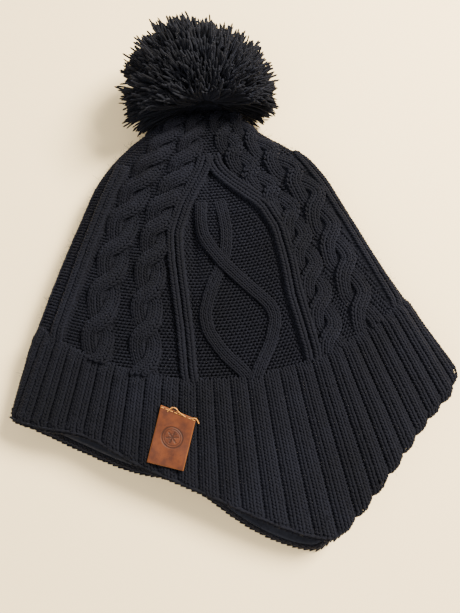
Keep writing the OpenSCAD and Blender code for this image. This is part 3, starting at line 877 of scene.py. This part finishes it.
# the gathered ring at the crown's top: knit drawn into folds
gather = {"ring": 9.5, "thick": 1.75, "folds": 15, "depth": 0.55}
bm = bmesh.new()
bmesh.ops.create_circle(bm, segments=14, radius=gather["thick"] / 1000,
                        matrix=Matrix.Translation((gather["ring"] / 1000, 0, 0)))
bmesh.ops.spin(bm, geom=bm.verts[:] + bm.edges[:], axis=(0, 1, 0), cent=(0, 0, 0), angle=2 * math.pi, steps=180, use_merge=True)
bmesh.ops.remove_doubles(bm, verts=bm.verts, dist=1e-6)
bmesh.ops.recalc_face_normals(bm, faces=bm.faces)
middleOf = Vector((apexX / 1000, (apexY - topR) / 1000 - 0.0003, 0.013))
for vert in bm.verts:
    turn = math.atan2(vert.co.z, vert.co.x)
    pinch = 1 + gather["depth"] / gather["ring"] * math.sin(gather["folds"] * turn + 0.7 * math.sin(3 * turn))
    vert.co = middleOf + Vector((vert.co.x * pinch, vert.co.y * 0.95, vert.co.z * pinch))
for face in bm.faces:
    face.smooth = True
gatherPiece = fromBmesh("crown_gather_folds", bm, knitYarn)

# the label: vegetable-tanned leather with a pressed mark, its cut edges paler
leatherLook = {"skin": "#3a1805", "worn": "#502609", "cut": "#7a4a1e", "press": "#210c03", "roughness": 0.6, "grainMm": 0.6,
               "patchMm": 4.76}
leather = startMaterial("vegetable_tanned_leather")
place = addNode(leather, "ShaderNodeTexCoord")
patch = addNode(leather, "ShaderNodeTexNoise", {"Vector": (place, "Object"), "Scale": 1000 / leatherLook["patchMm"], "Detail": 5.0})
ramp = addNode(leather, "ShaderNodeValToRGB", {"Fac": (patch, 0)})
ramp.color_ramp.elements[0].position, ramp.color_ramp.elements[0].color = 0.38, linear(leatherLook["skin"])
ramp.color_ramp.elements[1].position, ramp.color_ramp.elements[1].color = 0.64, linear(leatherLook["worn"])
marks = addNode(leather, "ShaderNodeAttribute", attribute_name="press")
edges = addNode(leather, "ShaderNodeAttribute", attribute_name="cut")
pressed = addNode(leather, "ShaderNodeMix", {0: (marks, "Fac"), 6: (ramp, 0), 7: linear(leatherLook["press"])}, data_type="RGBA")
pale = addNode(leather, "ShaderNodeMix", {0: (edges, "Fac"), 6: (pressed, 2), 7: linear(leatherLook["cut"])}, data_type="RGBA")
pore = addNode(leather, "ShaderNodeTexVoronoi", {"Vector": (place, "Object"), "Scale": 1000 / leatherLook["grainMm"]})
pores = addNode(leather, "ShaderNodeBump", {"Height": (pore, "Distance"), "Strength": 0.35, "Distance": 0.00012})
leather = finishMaterial(leather, addNode(leather, "ShaderNodeBsdfPrincipled", {
    "Base Color": (pale, 2), "Roughness": leatherLook["roughness"], "Normal": (pores, 0), "Specular IOR Level": 0.28}))

label = {"width": 19.5, "length": 30.0, "thick": 1.5, "phi": -6.4, "r": 271.3, "turn": -19.4, "mark": 5.5, "markDown": 14.2}
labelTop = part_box("leather_label")[1].z * 1000
anchor = skin(label["r"], label["phi"], 0)
tilt = skin(label["r"] + label["length"] - 4, label["phi"], 0)[2] - anchor[2]
down = math.atan2(tilt, label["length"] - 4)
toLabel = (Matrix.Translation(Vector((anchor[0], anchor[1], labelTop - label["thick"] + 0.55)))
           @ Matrix.Rotation(math.radians(label["turn"]), 4, "Z") @ Matrix.Rotation(-down, 4, "X"))

bm = bmesh.new()
bmesh.ops.create_grid(bm, x_segments=96, y_segments=144, size=0.5)
bmesh.ops.scale(bm, vec=(label["width"], label["length"], 1), verts=bm.verts)
bmesh.ops.translate(bm, vec=(0, -label["length"] / 2, 0), verts=bm.verts)
press = bm.verts.layers.float.new("press")
cut = bm.verts.layers.float.new("cut")
for vert in bm.verts:
    x, y = vert.co.x, vert.co.y + label["markDown"]
    far, turn = math.hypot(x, y), math.atan2(y, x)
    ring = max(0, 1 - ((far - label["mark"]) / 0.52) ** 2, 0.8 - ((far - label["mark"] * 0.80) / 0.36) ** 2)
    spoke = 0.0
    for k in range(3):
        c, s = math.cos(k * math.pi / 3 + 0.3), math.sin(k * math.pi / 3 + 0.3)
        u, w = x * c + y * s, -x * s + y * c
        if abs(u) < label["mark"] * 0.62:
            spoke = max(spoke, 1 - (w / 0.46) ** 2)
        if far < label["mark"] * 0.62:
            spoke = max(spoke, 0.9 - ((abs(w) - (abs(u) - 1.2) * 0.7) / 0.30) ** 2 if 1.2 < abs(u) < 2.2 else 0)
    depth = max(0.0, ring, spoke)
    vert[press] = 0.85 * depth
    away = min(label["width"] / 2 - abs(x), -vert.co.y, label["length"] + vert.co.y)
    vert[cut] = max(0.0, 1 - away / 0.5) * 0.8
    vert.co.y -= 2.8 * (x / label["width"] + 0.5) * max(0, 1 + vert.co.y / label["length"]) ** 1.2
    wave = 0.28 * math.sin(vert.co.y * 0.21 + 0.8) + 0.10 * math.sin(x * 0.4 + vert.co.y * 0.3)
    curledEnd = 0.35 * max(0, -vert.co.y / label["length"] - 0.7)
    vert.co.z = label["thick"] - 0.22 * depth + wave - 0.35 * max(0, 1 - away / 0.6) ** 2 + curledEnd
for face in bm.faces:
    face.smooth = True
rim = [edge for edge in bm.edges if edge.is_boundary]
walls = bmesh.ops.extrude_edge_only(bm, edges=rim)
for vert in [g for g in walls["geom"] if isinstance(g, bmesh.types.BMVert)]:
    vert.co.z = max(0.05, vert.co.z - label["thick"] + 0.3)
    vert[cut] = 1.0
bmesh.ops.holes_fill(bm, edges=[edge for edge in bm.edges if edge.is_boundary], sides=0)
bmesh.ops.recalc_face_normals(bm, faces=bm.faces)
for vert in bm.verts:
    vert.co = toLabel @ vert.co / 1000
labelPiece = fromBmesh("label_leather", bm, leather)

# sewing thread of mercerised cotton: tight twist with a silky shine
thread = {"colour": "#b97f2c", "thick": 0.27, "fine": 0.18, "stitches": 8}
threadMat = startMaterial("mercerised_cotton_thread")
uv = addNode(threadMat, "ShaderNodeUVMap", uv_map="yarn")
twist = addNode(threadMat, "ShaderNodeTexWave", {"Vector": (uv, 0), "Scale": 1.0}, bands_direction="DIAGONAL")
bumped = addNode(threadMat, "ShaderNodeBump", {"Height": (twist, "Fac"), "Strength": 0.4, "Distance": 0.0001})
threadMat = finishMaterial(threadMat, addNode(threadMat, "ShaderNodeBsdfPrincipled", {
    "Base Color": linear(thread["colour"]), "Roughness": 0.42, "Normal": (bumped, 0), "Sheen Weight": 0.2}))
starts, middles, ends = [], [], []
for k in range(thread["stitches"]):  # over the label's top edge into the knit
    x = (k - (thread["stitches"] - 1) / 2) * (label["width"] - 2.2) / (thread["stitches"] - 1)
    drop = 2.8 * (x / label["width"] + 0.5)
    starts.append(toLabel @ Vector((x - 0.9, -0.95 - drop, label["thick"] + 0.05)))
    middles.append(toLabel @ Vector((x, -0.75 - drop, label["thick"] + 0.6)))
    ends.append(toLabel @ Vector((x + 0.9, -1.1 - drop, label["thick"] + 0.02)))
loose = [(-5.6, -2.6, 1.8), (-4.2, 0.2, 2.6), (-1.6, 0.6, 2.8), (0.6, -1.6, 2.4), (3.6, -2.6, 1.9)]
tail = [(7.2, -3.2, 1.7), (9.6, -1.9, 2.3), (11.0, -3.6, 1.7), (11.8, -4.8, 0.9)]
for line in (loose, tail):
    for k in range(len(line) - 2):
        a, b, c = (Vector(q) for q in line[k:k + 3])
        starts.append(toLabel @ (a if k == 0 else (a + b) / 2))
        middles.append(toLabel @ b)
        ends.append(toLabel @ (c if k == len(line) - 3 else (b + c) / 2))
starts, middles, ends = (np.array([v[:] for v in points]) for points in (starts, middles, ends))
thickness = np.where(np.arange(len(ends)) < thread["stitches"], thread["fine"], thread["thick"])[:, None, None]
threadPiece = layStrands("label_thread", starts, middles, ends, thickness, threadMat, strandShape(8, 14))
print("label made")

# the sheet it lies on: plain cotton, pale and matt
floorMat = startMaterial("plain_cotton_sheet")
floorMat = finishMaterial(floorMat, addNode(floorMat, "ShaderNodeBsdfPrincipled", {
    "Base Color": linear("#fbe8ba"), "Roughness": 0.9}))
bm = bmesh.new()
bmesh.ops.create_grid(bm, x_segments=1, y_segments=1, size=2.0)
floor = fromBmesh("floor", bm, floorMat)

lamps = [("key", (0.62, 0.34, 0.74), 0.36, 50.0, "#fff1de"), ("fill", (-0.6, -0.5, 1.0), 1.0, 9.0, "#fff6ee")]
for name, place, size, power, colour in lamps:
    data = bpy.data.lights.new(name, "AREA")
    data.size, data.energy, data.color = size, power, linear(colour)[:3]
    lamp = bpy.data.objects.new(name, data)
    lamp.location = place
    lamp.rotation_euler = (Vector((0, 0, 0)) - Vector(place)).to_track_quat("-Z", "Y").to_euler()
    bpy.context.scene.collection.objects.link(lamp)
world = bpy.data.worlds.new("room")
bpy.context.scene.world = world
world.use_nodes = True
world.node_tree.nodes["Background"].inputs[0].default_value = linear("#fbf1e6")
world.node_tree.nodes["Background"].inputs[1].default_value = 0.85

for piece in (ropesFront, ropesBack, motifs, purls, frontFold, backFold, gatherPiece, threadPiece):
    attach(piece, "hat")
for piece in pomYarnPieces:
    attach(piece, "pompom")
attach(pomCore, "pompom")
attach(labelPiece, "label")


def bendAt(piece):
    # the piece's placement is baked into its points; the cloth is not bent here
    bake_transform(piece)


for piece in (backing, bandFront, bandBack, liningNear, hemNear, fibres):
    bendAt(piece)
for piece in (farKnit, liningFar, hemFar):
    bendAt(piece)
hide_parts("cable_crown_near", "rib_band_near", "ear_flap_near", "hem_edge_near", "flap_edge_near")
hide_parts("cable_crown_far", "rib_band_far", "ear_flap_far", "hem_edge_far", "flap_edge_far")
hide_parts("lining_near", "flap_lining_near")
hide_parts("lining_far", "flap_lining_far")
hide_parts("pompom_yarn")
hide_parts("crown_gather")
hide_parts("back_seam")
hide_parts("leather_label")
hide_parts("label_stitching")
for name in ("anchor_knot", "pompom_tails", "pompom_tie"):
    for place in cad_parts[name].material_slots:
        place.material = pomYarn


def clothArea(piece):
    return sum(face.area for face in piece.data.polygons)


# the sizes of the two sides laid out flat, and the areas of the cloth layers
nearFlat, farFlat = flatSize(1), flatSize(-1)
print("flat sizes in mm", [round(1000 * x) for x in nearFlat + farFlat])
print("cloth areas", [round(clothArea(piece), 5) for piece in (backing, farKnit, liningNear, liningFar)])
